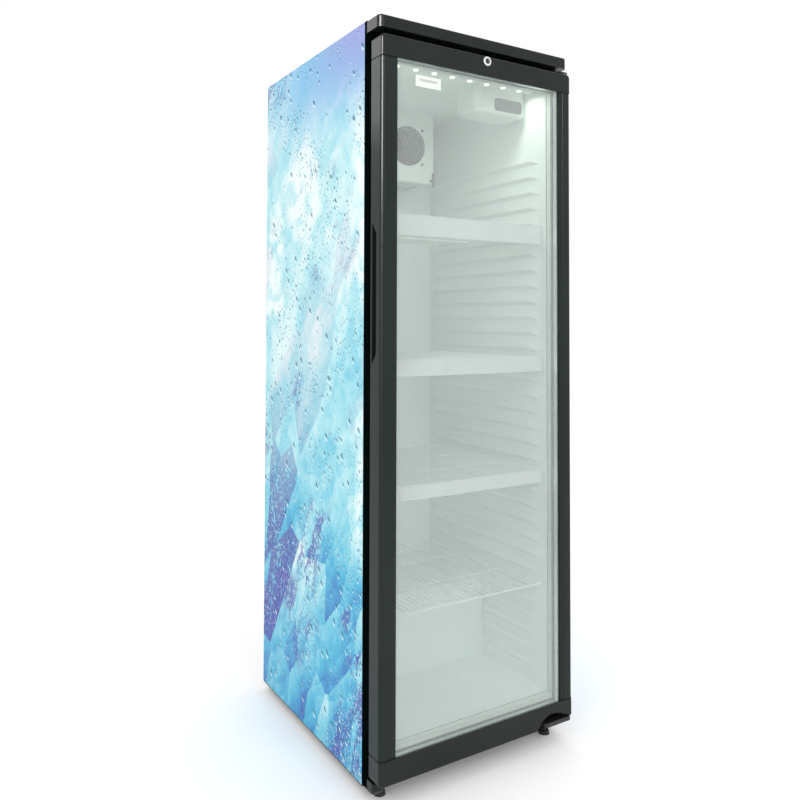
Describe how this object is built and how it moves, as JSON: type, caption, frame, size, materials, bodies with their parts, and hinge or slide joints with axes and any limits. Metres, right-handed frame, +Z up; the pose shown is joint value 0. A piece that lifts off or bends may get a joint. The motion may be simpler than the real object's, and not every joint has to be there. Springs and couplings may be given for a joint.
{
  "type": "glass door merchandiser",
  "caption": "Upright display cooler with one hinged double glazed door, wire shelves, lit interior, ceiling controller and a rear machine bay.",
  "frame": {"origin": "middle of the cooler's outer box, on the floor it stands on", "axes": "+X to the right for someone facing the door, +Y to the cooler's back, +Z up"},
  "size_m": [0.595, 0.692, 1.83],
  "materials": {
    "charcoal_plastic": "satin",
    "black_aluminium": "satin",
    "white_steel": "satin",
    "graphic_film": "gloss",
    "galvanised_steel": "satin",
    "foam": "matte",
    "white_liner": "satin",
    "zinc_steel": "polished",
    "coil_aluminium": "satin",
    "black_plastic": "matte",
    "lamp_lens": "gloss",
    "dark_window": "gloss",
    "white_wire": "satin",
    "ticket_plastic": "gloss",
    "black_enamel": "satin",
    "black_rubber": "matte",
    "light_rubber": "matte",
    "copper": "satin",
    "clear_glass": "polished"
  },
  "bodies": {
    "cabinet": {"side_panel_left": "white_steel", "side_panel_right": "white_steel", "wrap_left": "graphic_film", "wrap_right": "graphic_film", "top_panel": "white_steel", "back_panel": "galvanised_steel", "base_plate": "black_enamel", "foam_insulation": "foam", "inner_liner": "white_liner", "front_frame": "charcoal_plastic", "top_cap": "charcoal_plastic", "base_corner": "charcoal_plastic", "top_hinge_bracket": "black_enamel", "bottom_hinge_bracket": "black_enamel", "lock_keeper": "black_enamel", "foot_bushes": "zinc_steel", "evaporator_cover": "white_liner", "evaporator_coil": "coil_aluminium", "evaporator_fan_frame": "black_plastic", "evaporator_fan_guard": "black_plastic", "drip_tray": "white_liner", "drain_tube": "white_liner", "temperature_probe": "black_plastic", "led_housing": "white_liner", "led_lenses": "lamp_lens", "controller_housing": "white_liner", "controller_display": "dark_window", "shelf_1": "white_wire", "shelf_2": "white_wire", "shelf_3": "white_wire", "shelf_4": "white_wire", "ticket_strips": "ticket_plastic", "compressor": "black_enamel", "compressor_mounts": "black_rubber", "condenser_coil": "coil_aluminium", "condenser_fan_frame": "black_plastic", "filter_drier": "copper", "refrigerant_pipes": "copper", "condensate_tray": "black_plastic", "rear_grille": "galvanised_steel", "cord_gland": "black_plastic", "screws": "black_enamel"},
    "door": {"door_stile_left": "black_aluminium", "door_stile_right": "black_aluminium", "door_top_cap": "charcoal_plastic", "door_bottom_cap": "charcoal_plastic", "glass_outer": "clear_glass", "glass_inner": "clear_glass", "glass_spacer": "coil_aluminium", "door_gasket": "light_rubber", "lock_body": "zinc_steel", "hinge_bushes": "black_plastic"},
    "lock_cylinder": {"lock_cylinder": "zinc_steel"},
    "evaporator_fan_rotor": {"evaporator_fan_rotor": "black_plastic"},
    "condenser_fan_rotor": {"condenser_fan_rotor": "black_plastic"},
    "levelling_foot_1": {"levelling_foot_1": "black_rubber"},
    "levelling_foot_2": {"levelling_foot_2": "black_rubber"},
    "levelling_foot_3": {"levelling_foot_3": "black_rubber"},
    "levelling_foot_4": {"levelling_foot_4": "black_rubber"}
  },
  "joints": [
    {"name": "door_hinge", "type": "hinge", "parent": "cabinet", "child": "door", "pos_m": [0.282, -0.322, 0.9], "axis": [0, 0, 1], "range_deg": [0, 115], "stiffness_Nm_per_rad": 0.4, "springref_deg": -11.46},
    {"name": "lock_turn", "type": "hinge", "parent": "door", "child": "lock_cylinder", "pos_m": [0.012, -0.344, 1.767], "axis": [0, 1, 0], "range_deg": [0, 90]},
    {"name": "evaporator_fan_spin", "type": "hinge", "parent": "cabinet", "child": "evaporator_fan_rotor", "pos_m": [0.06, 0.119, 1.645], "axis": [0, 1, 0], "continuous": true},
    {"name": "condenser_fan_spin", "type": "hinge", "parent": "cabinet", "child": "condenser_fan_rotor", "pos_m": [-0.15, 0.164, 0.185], "axis": [0, 1, 0], "continuous": true},
    {"name": "levelling_foot_1_turn", "type": "hinge", "parent": "cabinet", "child": "levelling_foot_1", "pos_m": [-0.258, -0.2775, 0.02], "axis": [0, 0, 1], "continuous": true},
    {"name": "levelling_foot_2_turn", "type": "hinge", "parent": "cabinet", "child": "levelling_foot_2", "pos_m": [0.258, -0.2775, 0.02], "axis": [0, 0, 1], "continuous": true},
    {"name": "levelling_foot_3_turn", "type": "hinge", "parent": "cabinet", "child": "levelling_foot_3", "pos_m": [-0.258, 0.296, 0.02], "axis": [0, 0, 1], "continuous": true},
    {"name": "levelling_foot_4_turn", "type": "hinge", "parent": "cabinet", "child": "levelling_foot_4", "pos_m": [0.258, 0.296, 0.02], "axis": [0, 0, 1], "continuous": true}
  ]
}
